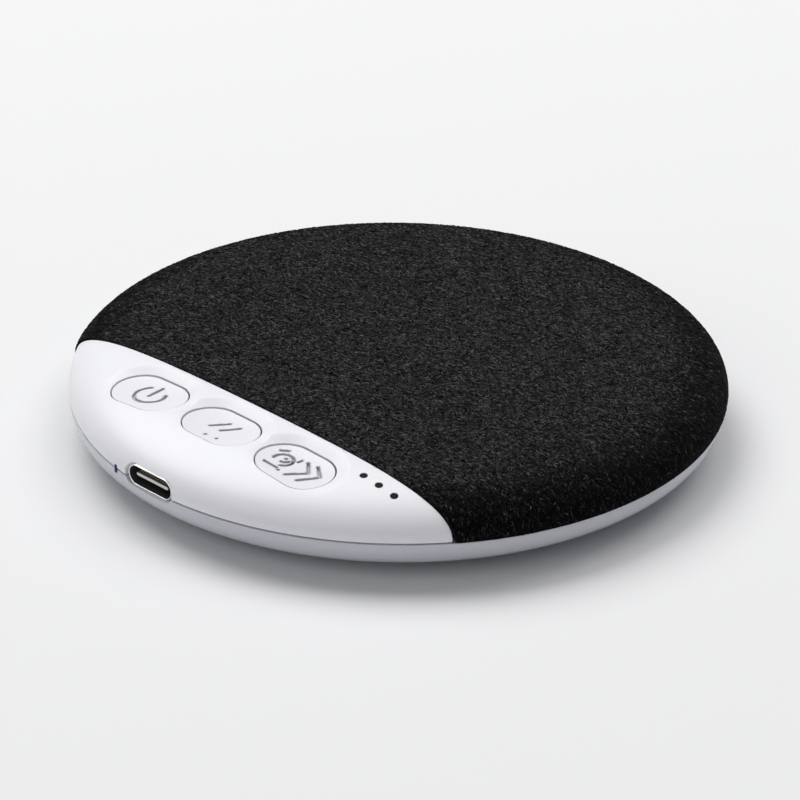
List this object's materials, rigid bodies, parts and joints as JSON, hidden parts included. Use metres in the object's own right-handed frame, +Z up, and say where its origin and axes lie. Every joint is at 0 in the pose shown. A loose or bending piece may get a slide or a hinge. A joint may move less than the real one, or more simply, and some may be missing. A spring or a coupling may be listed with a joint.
{
  "type": "pillow speaker",
  "caption": "Flat round pillow speaker with a charcoal felt top, a white control panel with push buttons and indicator holes, and a charging socket at its rim.",
  "frame": {"origin": "on the disc's axis, at the plane its rubber feet rest on", "axes": "+Z up through the crown of the cloth top, -Y towards the control panel and its charging socket, +X along the row of buttons towards the indicator lights"},
  "size_m": [0.0966, 0.0962, 0.0138],
  "materials": {
    "shell_white": "glossy moulded white",
    "panel_white": "satin moulded white",
    "button_white": "satin moulded white",
    "felt": "charcoal felt with a short nap",
    "foam": "open-cell foam",
    "black_plastic": "fine texture",
    "rubber": "soft matt",
    "board_green": "solder mask",
    "steel": "bright pressed sheet",
    "gold": "gold flash",
    "copper": "enamelled winding",
    "magnet_grey": "nickel plate",
    "ivory_plastic": "moulded",
    "led_resin": "clear resin over phosphor",
    "smoke_clear": "smoked light guide",
    "blue_clear": "dark blue light guide",
    "ceramic_tan": "fired",
    "pouch_foil": "laminated foil",
    "adhesive": "double-sided tape",
    "wire_red": "insulation",
    "wire_black": "insulation",
    "frame_black": "black coat",
    "paper": "pressed pulp",
    "terminal_brown": "paper laminate"
  },
  "bodies": {
    "housing": {"lower_shell": "shell_white", "feet": "rubber", "control_panel": "panel_white", "grille_plate": "black_plastic", "foam_pad": "foam", "fabric_cover": "felt", "power_switch": "black_plastic", "sound_switch": "black_plastic", "timer_switch": "black_plastic", "circuit_board": "board_green", "socket_shell": "steel", "socket_tongue": "black_plastic", "socket_contacts": "gold", "indicator_guide": "smoke_clear", "indicator_leds": "led_resin", "charge_light_pipe": "blue_clear", "charge_led": "led_resin", "controller_chip": "black_plastic", "amplifier_chip": "black_plastic", "charger_chip": "black_plastic", "capacitors": "ceramic_tan", "battery_cell": "pouch_foil", "battery_pad": "adhesive", "battery_header": "ivory_plastic", "battery_plug": "ivory_plastic", "battery_lead_red": "wire_red", "battery_lead_black": "wire_black", "speaker_lead_red": "wire_red", "speaker_lead_black": "wire_black", "driver_frame": "frame_black", "driver_yoke": "steel", "driver_magnet": "magnet_grey", "driver_top_plate": "steel", "surround": "rubber", "driver_gasket": "foam", "driver_terminals": "terminal_brown", "shell_screws": "steel", "board_screws": "steel", "panel_screws": "steel"},
    "power_key": {"power_button": "button_white", "power_plunger": "ivory_plastic"},
    "sound_key": {"sound_button": "button_white", "sound_plunger": "ivory_plastic"},
    "timer_key": {"timer_button": "button_white", "timer_plunger": "ivory_plastic"},
    "cone": {"diaphragm": "paper", "dust_cap": "paper", "voice_coil": "copper"}
  },
  "joints": [
    {"name": "power_press", "type": "slide", "parent": "housing", "child": "power_key", "axis": [0, 0, -1], "range_m": [0, 0.00035], "stiffness_N_per_m": 2000},
    {"name": "sound_press", "type": "slide", "parent": "housing", "child": "sound_key", "axis": [0, 0, -1], "range_m": [0, 0.00035], "stiffness_N_per_m": 2000},
    {"name": "timer_press", "type": "slide", "parent": "housing", "child": "timer_key", "axis": [0, 0, -1], "range_m": [0, 0.00035], "stiffness_N_per_m": 2000},
    {"name": "cone_stroke", "type": "slide", "parent": "housing", "child": "cone", "axis": [0, 0, 1], "range_m": [-0.0005, 0.0005], "stiffness_N_per_m": 1500, "deforming": ["surround"]}
  ]
}
